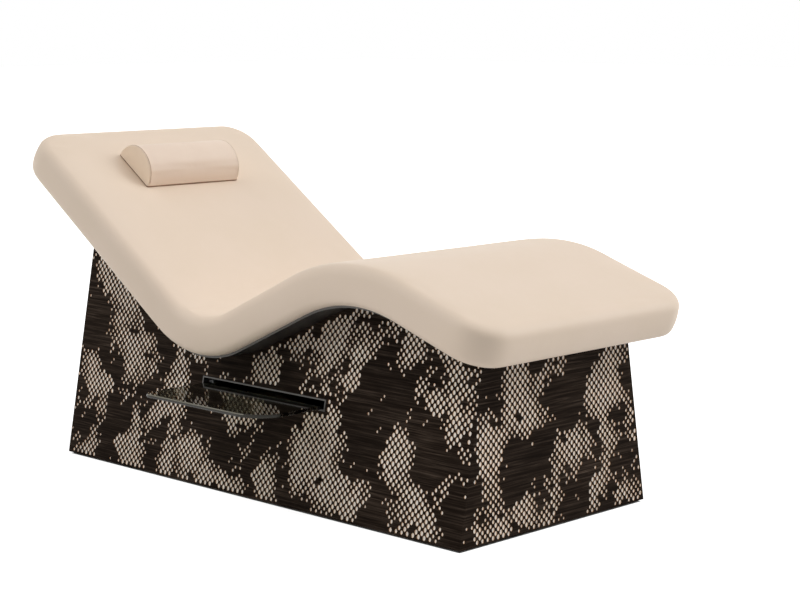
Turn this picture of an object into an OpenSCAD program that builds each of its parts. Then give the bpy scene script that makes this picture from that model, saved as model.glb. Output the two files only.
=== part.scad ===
// Spa relaxation lounger. A wave mattress lies on a bent deck over a housing of
// perforated boards. A glass tray pulls out of the near side and a half-round
// neck pillow slides along the backrest. +X points to the foot end, -Y to the
// tray side, +Z up. The origin is on the floor under the middle of the housing.

/* [Mattress] */
// Width of the mattress
mattress_w = 856; // [760:1:960]
// Thickness of the mattress
mattress_t = 113; // [90:1:130]
// Radius of the mattress corners seen from above
corner_r = 106; // [70:1:150]
// Radius of the upper edge
top_edge_r = 37; // [25:1:45]
// Radius of the lower edge
low_edge_r = 24; // [12:1:30]
// How far the side walls swell at half height
wall_swell = 2; // [0:0.5:4]
// Thickness of the upholstery
cover_t = 2.5; // [1.5:0.1:4]
// Width of the hem that is turned under the foam
hem_w = 32; // [15:1:60]

/* [Wave line] */
// Head edge of the lying surface, along the lounger
head_x = -907; // [-960:1:-880]
// Head edge of the lying surface, above the floor
head_z = 989; // [930:1:1060]
// Seat, where the back line meets the thigh line
seat_x = -154; // [-200:1:-110]
// Height of that meeting point
seat_z = 471; // [430:1:520]
// Radius of the seat
seat_r = 221; // [160:1:280]
// Knee, where the thigh line meets the calf line
knee_x = 438; // [400:1:480]
// Height of that meeting point
knee_z = 747; // [710:1:790]
// Radius of the knee
knee_r = 572; // [450:1:650]
// Foot edge of the lying surface, along the lounger
foot_x = 949; // [920:1:1010]
// Foot edge of the lying surface, above the floor
foot_z = 575; // [530:1:620]

/* [Housing] */
// Length of the housing
base_l = 1630; // [1500:1:1700]
// Width of the housing at its lower edge
base_w = 750; // [680:1:820]
// Inward lean of the long boards, in degrees
side_lean = 10.2; // [4:0.1:12]
// Thickness of the perforated veneer boards
board_t = 1.5; // [1:0.25:3]
// Thickness of the pale panels behind the boards
panel_t = 16; // [12:1:20]
// Side of the square corner posts
post_w = 42; // [30:1:55]
// Height of the plinth rails
rail_h = 60; // [40:1:80]
// Thickness of the plinth rails
rail_t = 28; // [20:1:36]
// Thickness of the bulkheads
bulkhead_t = 18; // [12:1:24]

/* [Perforations] */
// Width of an oval
oval_w = 10; // [8:0.5:14]
// Height of an oval
oval_h = 13; // [10:0.5:18]
// Distance between ovals of a row
oval_spacing_w = 20; // [18:0.5:26]
// Distance between ovals of a column
oval_spacing_h = 21; // [19:0.5:28]
// Bare margin from the edges of a board to the middle of an oval
oval_margin = 12; // [12:1:40]
// Length of one repeat of the patches
patch_l = 310; // [260:5:500]
// Height of one repeat of the patches
patch_h = 290; // [240:5:400]
// How much of a board the patches leave bare
patch_ratio = 0.76; // [0.7:0.02:0.95]

/* [Deck] */
// Thickness of the bent deck
deck_t = 6; // [4:0.5:10]
// How far the deck stays behind the mattress edge
deck_inset = 32; // [20:1:45]
// Depth of the lengthwise bearers under the deck
bearer_h = 55; // [40:1:70]
// Thickness of the bearers
bearer_t = 27; // [18:1:36]
// Distance between the two bearers
bearer_gap = 300; // [220:1:320]

/* [Tray] */
// Middle of the tray along the lounger
tray_x = 22.5; // [-10:0.5:40]
// Width of the glass
glass_w = 488; // [440:1:520]
// Depth of the glass
glass_d = 400; // [340:1:420]
// Thickness of the glass
glass_t = 10; // [6:0.5:12]
// Radius of the glass corner towards the head
glass_head_r = 28; // [10:1:60]
// Radius of the glass corner towards the foot
glass_foot_r = 95; // [20:1:120]
// How far the glass stands out of the housing's lower edge
glass_out = 176; // [120:1:200]
// How far the tray slides in
tray_travel = 205; // [150:1:215]
// Height of the glass under the deck at the seat
tray_drop = 102.5; // [90:0.5:120]
// Free width beside the glass in the slot
slot_side = 7; // [4:0.5:10]
// Free height of the slot
slot_h = 24.5; // [18:0.5:28]
// Width of the slot frame's visible band
trim_w = 4; // [3:0.5:6]
// How far the slot frame stands proud of the board
trim_proud = 1.5; // [1:0.25:3]
// Wall of the runners
runner_wall = 3; // [2:0.5:4]
// How far the runners grip the glass
runner_grip = 12; // [8:1:18]
// Depth of the clamp bar along the rear edge of the glass
clamp_d = 24; // [18:1:32]
// Lip of the clamp bar under the glass
clamp_lip = 5; // [4:0.5:8]
// Height of the slide pads and stops
pad_h = 8; // [5:0.5:12]
// Diameter of the clamp screws
clamp_screw_d = 4; // [3:0.5:5]

/* [Pillow] */
// Length of the pillow across the lounger
pillow_l = 360; // [280:1:420]
// Width of the pillow's flat underside
pillow_w = 163; // [120:1:180]
// Height of the pillow
pillow_h = 78; // [60:1:90]
// How far the pillow draws in at its ends
pillow_draw = 3; // [0:0.5:6]
// Distance from the head edge to the pillow
pillow_s = 145; // [110:1:200]
// Thickness of the pillow cover
pillow_cover_t = 2; // [1.5:0.1:3]

/* [Glides] */
// Height of the glides
glide_h = 6; // [4:0.5:12]
// Diameter of the glides
glide_d = 36; // [28:1:40]
// Shank diameter of the screws
screw_d = 5; // [3:0.5:6]
// Length of the wood screws past the piece that they hold
screw_l = 26; // [16:1:30]
// Height of the screw heads
screw_head_h = 2; // [1.5:0.25:2.5]
// How far the heads of the deck screws lie under the deck's top
screw_sink = 0.5; // [0.25:0.25:1]

/* [Hidden] */

// Overrun of every cut
over = 20;
// Free space where a piece may slide
slide_gap = 0.4;
// Free space between a loose piece and its seat
seat_gap = 0.3;
// Free space round a notch
notch_gap = 0.3;
// Free space between a foam and its cover
lining_gap = 0.3;
// Steps of the seat arc, the knee arc and a mattress corner
seat_steps = 14;
knee_steps = 10;
corner_steps = 5;
// How far the patches lean to and fro, in degrees of a repeat
patch_sway = 30;

// Directions of the three straight stretches, as falls towards the foot
back_a = atan2(head_z - seat_z, seat_x - head_x);
rise_a = atan2(knee_z - seat_z, knee_x - seat_x);
leg_a = atan2(knee_z - foot_z, foot_x - knee_x);

function along(a) = [cos(a), -sin(a)];
function off(a) = [sin(a), cos(a)];

// Stations along the lying surface, counted from the head edge
seat_cut = seat_r * tan((back_a + rise_a) / 2);
knee_cut = knee_r * tan((rise_a + leg_a) / 2);
s_seat = norm([seat_x - head_x, head_z - seat_z]) - seat_cut;
s_thigh = s_seat + seat_r * (back_a + rise_a) * PI / 180;
s_knee = s_thigh + norm([knee_x - seat_x, knee_z - seat_z]) - seat_cut - knee_cut;
s_calf = s_knee + knee_r * (rise_a + leg_a) * PI / 180;
wave_l = s_calf + norm([foot_x - knee_x, knee_z - foot_z]) - knee_cut;

head_p = [head_x, head_z];
seat_c = head_p + along(back_a) * s_seat + off(back_a) * seat_r;
thigh_p = [seat_x, seat_z] + along(-rise_a) * seat_cut;
knee_c = [knee_x, knee_z] - along(-rise_a) * knee_cut - off(-rise_a) * knee_r;
calf_p = [knee_x, knee_z] + along(leg_a) * knee_cut;

// Direction of the surface at a station
function wave_a(s) =
    s < s_seat ? back_a
    : s < s_thigh ? back_a - (s - s_seat) / seat_r * 180 / PI
    : s < s_knee ? -rise_a
    : s < s_calf ? (s - s_knee) / knee_r * 180 / PI - rise_a
    : leg_a;

// Point at a station, lifted off the surface by n, as x and z
function wave(s, n) =
    s < s_seat ? head_p + along(back_a) * s + off(back_a) * n
    : s < s_thigh ? seat_c + off(wave_a(s)) * (n - seat_r)
    : s < s_knee ? thigh_p + along(-rise_a) * (s - s_thigh) + off(-rise_a) * n
    : s < s_calf ? knee_c + off(wave_a(s)) * (n + knee_r)
    : calf_p + along(leg_a) * (s - s_calf) + off(leg_a) * n;

function spread(a, b, count) = [for (i = [0:count]) a + (b - a) * i / count];
seat_stations = spread(s_seat, s_thigh, seat_steps);
knee_stations = spread(s_knee, s_calf, knee_steps);
function stations(a, b) = concat([a], seat_stations, knee_stations, [b]);

deck_n = -mattress_t;
under_n = deck_n - deck_t;

// A band of the wave between two depths and two stations
function band(a, b, n_top, n_low) = concat(
    [for (s = stations(a, b)) wave(s, n_top)],
    [for (i = [len(stations(a, b)) - 1:-1:0]) wave(stations(a, b)[i], n_low)]
);

// Heights and widths of the housing
board_z = glide_h;
wall_t = board_t + panel_t;
roof_z = head_z + over;
board_v = (roof_z - board_z) / cos(side_lean);
function half_w(z, depth) =
    base_w / 2 - (z - board_z) * tan(side_lean) - depth / cos(side_lean);
function slope_v(z) = (z - board_z) / cos(side_lean);

// Tray
glass_z = seat_c[1] - seat_r + under_n - tray_drop;
glass_y = -base_w / 2 - glass_out;
glass_back_y = glass_y + glass_d;
slot_w = glass_w + 2 * slot_side;
slot_low = slope_v(glass_z - slide_gap - trim_proud * sin(side_lean));
runner_open = glass_t + 2 * slide_gap;
runner_h = runner_open + 2 * runner_wall;
runner_z = glass_z - slide_gap - runner_wall;
runner_top = runner_z + runner_h;
runner_x = glass_w / 2 + slide_gap;
runner_y = slide_gap - half_w(runner_top, wall_t);
clamp_y = glass_back_y - clamp_d / 2;
clamp_l = 2 * (runner_x - runner_grip - runner_wall);
clamp_top = runner_top + slide_gap;
runner_back = clamp_y + clamp_d + tray_travel + seat_gap + clamp_d / 2;
runner_l = runner_back - runner_y;
bulkhead_x = runner_x + runner_wall;

// Pillow
pillow_r = pillow_w / 2;
pillow_turns = 20;
pillow_half = pillow_l / 2 - pillow_cover_t;
pillow_ys = concat([-pillow_l / 2], spread(-pillow_half, pillow_half, 8), [pillow_l / 2]);

// Glides
glide_inset = wall_t + post_w / 2;

// Deck screws along the wave, off the edges between its facets. The first and the
// last stand back from the end panels.
end_screw_back = 30;
first_screw_x = wall_t - base_l / 2 + end_screw_back + (deck_t + screw_l) * sin(back_a);
last_screw_x = base_l / 2 - wall_t - end_screw_back;
first_screw_s = (first_screw_x - wave(0, deck_n)[0]) / cos(back_a);
last_screw_s = s_calf + (last_screw_x - wave(s_calf, deck_n)[0]) / cos(leg_a);
rise_screw_shares = [0.15, 0.85];
deck_screw_stations = concat(
    spread(first_screw_s, s_seat - end_screw_back, 2),
    [for (share = rise_screw_shares) s_thigh + share * (s_knee - s_thigh)],
    [(knee_stations[4] + knee_stations[5]) / 2, last_screw_s]
);

// Frames

// Shapes drawn in x and z, as wide as given across the lounger
module across(width) {
    rotate([90, 0, 0])
        linear_extrude(height = width, center = true)
            children();
}

// Local frame of the near long board: x along, y up the slope, z outwards
module near_side() {
    translate([0, -base_w / 2, board_z])
        rotate([90 - side_lean, 0, 0])
            children();
}

module both_sides() {
    children();
    mirror([0, 1, 0])
        children();
}

module both_ends() {
    children();
    mirror([1, 0, 0])
        children();
}

// Local frame on the lying surface: x down the wave, z off it
module on_wave(s, n) {
    translate([wave(s, n)[0], 0, wave(s, n)[1]])
        rotate([0, wave_a(s), 0])
            children();
}

// Everything above the deck's underside
module sky() {
    low = [for (s = stations(-base_l, wave_l + base_l)) wave(s, under_n)];
    across(base_w + 2 * over)
        polygon(concat([[low[0][0], roof_z + base_l]], low, [[low[len(low) - 1][0], roof_z + base_l]]));
}

// Everything below the boards
module ground() {
    translate([-base_l, -base_w, board_z - base_w])
        cube([2 * base_l, 2 * base_w, base_w]);
}

// Perforated boards

// Height of the patch pattern at a place, between -1 and 1
function mottle(u, v) =
    sin(360 * u / patch_l + patch_sway * sin(360 * v / patch_h))
    * sin(360 * v / patch_h + patch_sway * sin(180 * u / patch_l));

module oval() {
    rise = (oval_h - oval_w) / 2;
    for (side = [-1, 1])
        translate([0, side * rise])
            circle(d = oval_w, $fn = 24);
    translate([-oval_w / 2, -rise])
        square([oval_w, 2 * rise]);
}

// Staggered ovals in patches, clear of the edges and of the slot
module side_ovals(slotted) {
    rows = floor(board_v / oval_spacing_h * 2);
    cols = floor(base_l / 2 / oval_spacing_w);
    for (j = [1:rows])
        for (i = [-cols:cols]) {
            u = (i + (j % 2) / 2) * oval_spacing_w;
            v = j * oval_spacing_h / 2;
            if (mottle(u, v) > patch_ratio && side_free(u, v, slotted))
                translate([u, v])
                    oval();
        }
}

// Height of the deck's underside over a place along the lounger, by bisection
function under_z(x, a, b, n) =
    n == 0 ? wave((a + b) / 2, under_n)[1]
    : wave((a + b) / 2, under_n)[0] < x ? under_z(x, (a + b) / 2, b, n - 1)
    : under_z(x, a, (a + b) / 2, n - 1);
function roof_at(x) = under_z(x, 0, wave_l, 16);

function side_free(u, v, slotted) =
    abs(u) < base_l / 2 - oval_margin
    && v > oval_margin
    && v < slope_v(min(roof_at(u - oval_w), roof_at(u + oval_w))) - oval_margin
    && !(slotted && abs(u - tray_x) < slot_w / 2 + trim_w + oval_margin
        && v > slot_low - trim_w - oval_margin && v < slot_low + slot_h + trim_w + oval_margin);

module slot_shape(grow) {
    translate([tray_x - slot_w / 2 - grow, slot_low - grow])
        square([slot_w + 2 * grow, slot_h + 2 * grow]);
}

// A long board with mitred ends, cut flat below and to the wave above
module side_board(slotted) {
    difference() {
        near_side()
            translate([0, 0, -board_t])
                linear_extrude(height = board_t)
                    difference() {
                        translate([-base_l / 2, -board_t])
                            square([base_l, board_v + board_t]);
                        side_ovals(slotted);
                        if (slotted)
                            slot_shape(trim_w / 2);
                    }
        both_ends()
            near_side()
                mitre([[base_l / 2 + over, over], [base_l / 2 + over, -board_t - over],
                    [base_l / 2 - board_t - over, -board_t - over]]);
        ground();
        sky();
    }
}

// A prism that runs up the slope of the near board
module mitre(points) {
    translate([0, board_v + over, 0])
        rotate([90, 0, 0])
            linear_extrude(height = board_v + 2 * over)
                polygon(points);
}

// Outline of the housing across its length, a given depth behind its face
module housing_outline(depth, low_z) {
    polygon([
        [-half_w(low_z, depth), low_z], [half_w(low_z, depth), low_z],
        [half_w(roof_z, depth), roof_z], [-half_w(roof_z, depth), roof_z]
    ]);
}

// A sheet square to the lounger's length, whose outer face is at x
module upright(x, thick) {
    translate([x - thick, 0, 0])
        rotate([90, 0, 90])
            linear_extrude(height = thick)
                children();
}

module end_ovals(x) {
    rows = floor(roof_z / oval_spacing_h * 2);
    cols = floor(base_w / 2 / oval_spacing_w);
    for (j = [1:rows])
        for (i = [-cols:cols]) {
            u = (i + (j % 2) / 2) * oval_spacing_w;
            z = board_z + j * oval_spacing_h / 2;
            if (mottle(u + x, z) > patch_ratio
                && abs(u) < half_w(z, board_t) - oval_margin
                && z > board_z + oval_margin
                && z < min(roof_at(x), roof_at(x - sign(x) * board_t)) - oval_margin)
                translate([u, z])
                    oval();
        }
}

// The foot board; the head board is its mirror image with its own ovals
module end_board(x) {
    difference() {
        mirror([x < 0 ? 1 : 0, 0, 0])
            upright(abs(x), board_t)
                difference() {
                    housing_outline(0, board_z);
                    end_ovals(x);
                }
        both_sides()
            mirror([x < 0 ? 1 : 0, 0, 0])
                near_side()
                    mitre([[base_l / 2 - board_t - over, -board_t - over], [base_l / 2 + over, over],
                        [base_l / 2 - board_t - over, over]]);
        sky();
    }
}

module side_panel(slotted) {
    difference() {
        near_side()
            translate([0, 0, -wall_t])
                linear_extrude(height = panel_t)
                    difference() {
                        translate([board_t - base_l / 2, -board_t])
                            square([base_l - 2 * board_t, board_v + board_t]);
                        if (slotted)
                            slot_shape(trim_w / 2);
                    }
        ground();
        sky();
    }
}

module end_panel() {
    upright(base_l / 2 - board_t, panel_t)
        housing_outline(wall_t, board_z);
}

module side_board_near() {
    color([0.14, 0.11, 0.10])
        side_board(true);
}

module side_board_far() {
    color([0.14, 0.11, 0.10])
        mirror([0, 1, 0])
            side_board(false);
}

module end_board_head() {
    color([0.14, 0.11, 0.10])
        end_board(-base_l / 2);
}

module end_board_foot() {
    color([0.14, 0.11, 0.10])
        end_board(base_l / 2);
}

module panel_near() {
    color([0.90, 0.81, 0.70])
        side_panel(true);
}

module panel_far() {
    color([0.90, 0.81, 0.70])
        mirror([0, 1, 0])
            side_panel(false);
}

module panel_head() {
    color([0.90, 0.81, 0.70])
        difference() {
            mirror([1, 0, 0])
                end_panel();
            sky();
        }
}

module panel_foot() {
    color([0.90, 0.81, 0.70])
        difference() {
            end_panel();
            sky();
        }
}

// Frame inside the housing

module corner_posts() {
    color([0.72, 0.58, 0.42])
        difference() {
            both_ends()
                both_sides()
                    near_side()
                        mitre([[base_l / 2 - wall_t - post_w, -wall_t - post_w],
                            [base_l / 2 - wall_t, -wall_t - post_w],
                            [base_l / 2 - wall_t, -wall_t],
                            [base_l / 2 - wall_t - post_w, -wall_t]]);
            ground();
            sky();
            both_sides()
                bearer(notch_gap, over);
            glide_spots()
                glide_screw();
        }
}

// One of the two long rails; a notch for it runs on through the panel and the ground
module long_rail(rise) {
    rail_l = base_l - 2 * (wall_t + post_w);
    near_side()
        translate([-rail_l / 2, -board_t - rise, -wall_t - rail_t])
            cube([rail_l, slope_v(board_z + rail_h) + board_t + rise, rail_t + rise]);
}

module plinth_rails_long() {
    color([0.72, 0.58, 0.42])
        difference() {
            both_sides()
                long_rail(0);
            ground();
            glide_spots()
                glide_screw();
        }
}

// A cross rail between the given depths behind the housing's face
module cross_rail(x, depth) {
    upright(x, rail_t)
        intersection() {
            housing_outline(depth, board_z);
            translate([-base_w, board_z])
                square([2 * base_w, rail_h]);
        }
}

module plinth_rails_cross() {
    color([0.72, 0.58, 0.42]) {
        both_ends()
            cross_rail(base_l / 2 - wall_t, wall_t + post_w);
        difference() {
            cross_rail(rail_t / 2, wall_t + rail_t);
            glide_spots()
                glide_screw();
        }
    }
}

// One of the two bearers that follow the wave; a notch for it is wider and open above
module bearer(grow, rise) {
    intersection() {
        translate([0, bearer_gap / 2, 0])
            across(bearer_t + 2 * grow)
                polygon(band(-base_l / 2, wave_l + base_l / 2, under_n + rise, under_n - bearer_h - grow));
        translate([wall_t - base_l / 2, 0, board_z])
            cube([base_l - 2 * wall_t, base_w, roof_z]);
    }
}

module deck_bearers() {
    color([0.72, 0.58, 0.42])
        difference() {
            both_sides()
                bearer(0, 0);
            deck_screw_set();
        }
}

// Plywood bulkheads on each side of the tray, notched over rails and bearers
module bulkhead(x) {
    window_z = board_z + rail_h + bearer_t;
    difference() {
        upright(x, bulkhead_t)
            difference() {
                housing_outline(wall_t, board_z);
                translate([0, (window_z + runner_z - bearer_t) / 2])
                    circle(d = runner_z - bearer_t - window_z, $fn = 48);
            }
        both_sides() {
            long_rail(over);
            bearer(notch_gap, over);
        }
        runner_screw_set();
        sky();
    }
}

module bulkheads() {
    color([0.78, 0.66, 0.50]) {
        bulkhead(tray_x - bulkhead_x);
        bulkhead(tray_x + bulkhead_x + bulkhead_t);
    }
}

// Deck

// What is cut off a corner whose legs are r long
module corner_waste(r) {
    polygon([[-over, -over], [r + over, -over], [-over, r + over]]);
}

module bent_deck() {
    deck_w = mattress_w - 2 * deck_inset;
    deck_cut = corner_r - deck_inset;
    color([0.36, 0.35, 0.33])
        difference() {
            across(deck_w)
                polygon(band(deck_inset, wave_l - deck_inset, deck_n, under_n));
            deck_screw_holes();
            both_sides() {
                on_wave(0, deck_n)
                    translate([deck_inset, -deck_w / 2, -deck_t - over])
                        linear_extrude(height = deck_t + 2 * over)
                            corner_waste(deck_cut);
                on_wave(wave_l, deck_n)
                    translate([-deck_inset, -deck_w / 2, -deck_t - over])
                        mirror([1, 0, 0])
                            linear_extrude(height = deck_t + 2 * over)
                                corner_waste(deck_cut);
            }
        }
}

module on_deck_screws() {
    both_sides()
        for (s = deck_screw_stations)
            on_wave(s, deck_n)
                translate([0, bearer_gap / 2, 0])
                    children();
}

// A wood screw down through the deck, whose head lies just under the deck's top
module deck_screw_set() {
    on_deck_screws() {
        translate([0, 0, -screw_sink - screw_head_h])
            cylinder(d = 2 * screw_d, h = screw_head_h, $fn = 32);
        translate([0, 0, -deck_t - screw_l])
            cylinder(d = screw_d, h = deck_t + screw_l - screw_sink - screw_head_h, $fn = 32);
    }
}

module deck_screw_holes() {
    on_deck_screws() {
        translate([0, 0, -screw_sink - screw_head_h])
            cylinder(d = 2 * screw_d, h = screw_head_h + over, $fn = 32);
        translate([0, 0, -deck_t - over])
            cylinder(d = screw_d, h = deck_t + over, $fn = 32);
    }
}

module deck_screws() {
    color([0.62, 0.62, 0.63])
        deck_screw_set();
}

// Mattress

// Half of the outline seen from above, head to foot along the near side, as
// station and distance across
side_stations = concat(
    spread(corner_r, s_seat, 3),
    [for (i = [1:seat_steps]) seat_stations[i]],
    [(s_thigh + s_knee) / 2],
    knee_stations,
    [wave_l - corner_r]
);
function half_outline(inset) = concat(
    [for (i = [0:corner_steps - 1]) let (a = 90 * i / corner_steps, r = corner_r - inset)
        [corner_r - r * cos(a), corner_r - mattress_w / 2 - r * sin(a)]],
    [for (s = side_stations) [s, inset - mattress_w / 2]],
    [for (i = [1:corner_steps]) let (a = 90 - 90 * i / corner_steps, r = corner_r - inset)
        [wave_l - corner_r + r * cos(a), corner_r - mattress_w / 2 - r * sin(a)]]
);

// Levels of the skin from the top down, as inset and lift, at a depth d
function levels(d, top_steps, low_steps, swell) = concat(
    [for (i = [0:top_steps]) let (a = 90 * i / top_steps)
        [top_edge_r - (top_edge_r - d) * sin(a) + swell * sin(a), (top_edge_r - d) * cos(a) - top_edge_r]],
    swell > 0 ? [[d, (low_edge_r - top_edge_r - mattress_t) / 2]] : [],
    [for (i = [low_steps:-1:0]) let (a = 90 * i / low_steps)
        [low_edge_r - (low_edge_r - d) * sin(a) + swell * sin(a),
            low_edge_r - mattress_t - (low_edge_r - d) * cos(a)]]
);

outer_levels = levels(0, 3, 2, wall_swell);
inner_levels = levels(cover_t + wall_swell, 2, 1, 0);
foam_levels = levels(cover_t + wall_swell + lining_gap, 2, 1, 0);
hem_levels = [
    [low_edge_r + hem_w, -mattress_t],
    [low_edge_r + hem_w, cover_t + wall_swell - mattress_t]
];

function ring(level) = let (half = half_outline(level[0])) concat(
    [for (p = half) let (q = wave(p[0], level[1])) [q[0], p[1], q[1]]],
    [for (i = [len(half) - 1:-1:0]) let (q = wave(half[i][0], level[1])) [q[0], -half[i][1], q[1]]]
);

// Faces between rings of n points, and caps that join each point to its mirror
function tube_faces(rings, n) = [
    for (k = [0:rings - 2]) for (i = [0:n - 1]) let (j = (i + 1) % n, a = k * n, b = a + n)
        each [[a + i, a + j, b + i], [a + j, b + j, b + i]]
];
function cap_faces(start, n, up) = [
    for (i = [0:n / 2 - 2]) let (a = start + i, b = a + 1, d = start + n - 1 - i, c = d - 1)
        each (up ? [[a, d, b], [b, d, c]] : [[a, b, d], [b, c, d]])
];

module skin(level_list) {
    rings = [for (level = level_list) ring(level)];
    n = len(rings[0]);
    polyhedron(
        points = [for (r = rings) each r],
        faces = concat(cap_faces(0, n, true), tube_faces(len(rings), n),
            cap_faces((len(rings) - 1) * n, n, false)),
        convexity = 8
    );
}

function backwards(list) = [for (i = [len(list) - 1:-1:0]) list[i]];

module mattress_foam() {
    color([0.86, 0.80, 0.62])
        skin(foam_levels);
}

module mattress_cover() {
    color([0.91, 0.85, 0.77])
        skin(concat(outer_levels, hem_levels, backwards(inner_levels)));
}

// Tray and its slot

module slot_ring(grow) {
    difference() {
        slot_shape(grow);
        slot_shape(0);
    }
}

module slot_frame() {
    color([0.42, 0.41, 0.40])
        near_side() {
            translate([0, 0, -wall_t])
                linear_extrude(height = wall_t + trim_proud)
                    slot_ring(trim_w / 2);
            linear_extrude(height = trim_proud)
                slot_ring(trim_w);
        }
}

// The near runner of a pair, for the edge of the glass at its high end of x
module runner() {
    translate([tray_x, runner_y, runner_z])
        difference() {
            translate([runner_x - runner_grip, 0, 0])
                cube([runner_grip + runner_wall, runner_l, runner_h]);
            translate([runner_x - runner_grip - over, -over, runner_wall])
                cube([runner_grip + over, runner_l + 2 * over, runner_open]);
        }
}

module mirrored_on_tray() {
    children();
    translate([2 * tray_x, 0, 0])
        mirror([1, 0, 0])
            children();
}

module runner_rails() {
    color([0.75, 0.76, 0.77])
        difference() {
            mirrored_on_tray()
                runner();
            runner_screw_set();
        }
}

// Screws through a bulkhead into the web of its runner
module runner_screw_set() {
    mirrored_on_tray()
        for (share = [-1, 0, 1])
            translate([tray_x + runner_x, runner_y + runner_l / 2 + share * runner_l / 3,
                runner_z + runner_h / 2])
                rotate([0, 90, 0]) {
                    cylinder(d = screw_d, h = runner_wall + bulkhead_t, $fn = 32);
                    translate([0, 0, runner_wall + bulkhead_t])
                        cylinder(d = 2 * screw_d, h = screw_head_h, $fn = 32);
                }
}

module runner_screws() {
    color([0.62, 0.62, 0.63])
        runner_screw_set();
}

// A block on the top of each runner, between two places along it
module runner_blocks(y, depth, z, height, grip) {
    mirrored_on_tray()
        translate([tray_x + runner_x - grip, y, z])
            cube([grip - slide_gap, depth, height]);
}

module front_stops() {
    color([0.10, 0.10, 0.10])
        runner_blocks(clamp_y - seat_gap - clamp_d / 2, clamp_d / 2, runner_top, pad_h, runner_grip);
}

module rear_stops() {
    color([0.10, 0.10, 0.10])
        runner_blocks(runner_back - clamp_d / 2, clamp_d / 2, runner_top, pad_h, runner_grip);
}

module tray_glass() {
    color([0.12, 0.12, 0.11, 0.6])
        translate([tray_x, glass_y, glass_z])
            linear_extrude(height = glass_t)
                hull() {
                    translate([glass_head_r - glass_w / 2, glass_head_r])
                        circle(r = glass_head_r, $fn = 64);
                    translate([glass_w / 2 - glass_foot_r, glass_foot_r])
                        circle(r = glass_foot_r, $fn = 128);
                    translate([-glass_w / 2, glass_d / 2])
                        square([glass_w, glass_d / 2]);
                }
}

// A bar along the rear edge of the glass, grooved for it
module tray_clamp_bar() {
    color([0.42, 0.41, 0.40])
        difference() {
            translate([tray_x - clamp_l / 2, clamp_y, glass_z - clamp_lip])
                cube([clamp_l, clamp_d, clamp_top - glass_z + clamp_lip]);
            translate([tray_x - clamp_l / 2 - over, clamp_y - over, glass_z])
                cube([clamp_l + 2 * over, clamp_d / 2 + over, glass_t]);
            clamp_screw_set();
        }
}

module tray_slide_pads() {
    color([0.88, 0.87, 0.84])
        runner_blocks(clamp_y, clamp_d, clamp_top, pad_h, runner_x - clamp_l / 2 + clamp_d);
}

module clamp_screw_set() {
    for (share = [-1, 0, 1])
        translate([tray_x + share * clamp_l / 3, clamp_y + clamp_d / 4, glass_z + glass_t])
            cylinder(d = clamp_screw_d, h = clamp_top - glass_z - glass_t, $fn = 32);
}

module tray_clamp_screws() {
    color([0.62, 0.62, 0.63])
        clamp_screw_set();
}

// Pillow

// Half-round outline at a place across, a depth d inside the cover
function pillow_ring(y, d) = let (
    share = min(1, abs(y) / pillow_half),
    r = pillow_r - pillow_draw * pow(share, 4) - d,
    low = asin(d / r)
) [
    for (i = [0:pillow_turns]) let (a = low + (180 - 2 * low) * i / pillow_turns)
        [pillow_r + r * cos(a), y, r * sin(a) * pillow_h / pillow_r]
];

module on_pillow() {
    on_wave(pillow_s, seat_gap)
        children();
}

module pillow_core() {
    n = pillow_turns + 1;
    half = pillow_half - lining_gap;
    rings = [for (y = spread(half, -half, 8)) pillow_ring(y, pillow_cover_t + lining_gap)];
    last = (len(rings) - 1) * n;
    color([0.86, 0.80, 0.62])
        on_pillow()
            polyhedron(
                points = [for (r = rings) each r],
                faces = concat(
                    [for (i = [1:n - 2]) [0, i + 1, i]],
                    tube_faces(len(rings), n),
                    [for (i = [1:n - 2]) [last, last + i, last + i + 1]]
                ),
                convexity = 4
            );
}

module pillow_wrap() {
    n = pillow_turns + 1;
    out = [for (y = backwards(pillow_ys)) pillow_ring(y, 0)];
    in = [for (y = pillow_ys) pillow_ring(y, pillow_cover_t)];
    rings = concat(out, in, [out[0]]);
    count = len(rings) - 1;
    color([0.90, 0.83, 0.75])
        on_pillow()
            polyhedron(
                points = [for (k = [0:count - 1]) each rings[k]],
                faces = [for (f = tube_faces(count + 1, n)) [for (v = f) v % (count * n)]],
                convexity = 6
            );
}

module pillow_ends() {
    shape = [for (p = pillow_ring(pillow_half, pillow_cover_t)) [p[0], p[2]]];
    color([0.84, 0.75, 0.68])
        on_pillow()
            both_sides()
                translate([0, pillow_l / 2, 0])
                    rotate([90, 0, 0])
                        linear_extrude(height = pillow_cover_t)
                            polygon(shape);
}

// Glides

module glide_spots() {
    for (x = [-1, 0, 1])
        for (y = [-1, 1])
            translate([x * (base_l / 2 - glide_inset), y * (base_w / 2 - glide_inset), 0])
                children();
    children();
}

// A screw whose head is moulded into its glide
module glide_screw() {
    translate([0, 0, glide_h - screw_head_h]) {
        cylinder(d = 2 * screw_d, h = screw_head_h, $fn = 32);
        cylinder(d = screw_d, h = screw_head_h + screw_l, $fn = 32);
    }
}

module glides() {
    color([0.15, 0.15, 0.15])
        glide_spots()
            difference() {
                cylinder(d = glide_d, h = glide_h, $fn = 48);
                glide_screw();
            }
}

module glide_screws() {
    color([0.62, 0.62, 0.63])
        glide_spots()
            glide_screw();
}

side_board_near();
side_board_far();
end_board_head();
end_board_foot();
panel_near();
panel_far();
panel_head();
panel_foot();
corner_posts();
plinth_rails_long();
plinth_rails_cross();
bulkheads();
deck_bearers();
bent_deck();
deck_screws();
mattress_foam();
mattress_cover();
slot_frame();
runner_rails();
runner_screws();
front_stops();
rear_stops();
glides();
glide_screws();
tray_glass();
tray_clamp_bar();
tray_slide_pads();
tray_clamp_screws();
pillow_core();
pillow_wrap();
pillow_ends();
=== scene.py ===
"""Looks of the spa relaxation lounger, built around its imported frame. Metres, +Z up."""

import bisect
import math

import bpy
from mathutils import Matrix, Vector, bvhtree, geometry, noise


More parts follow.
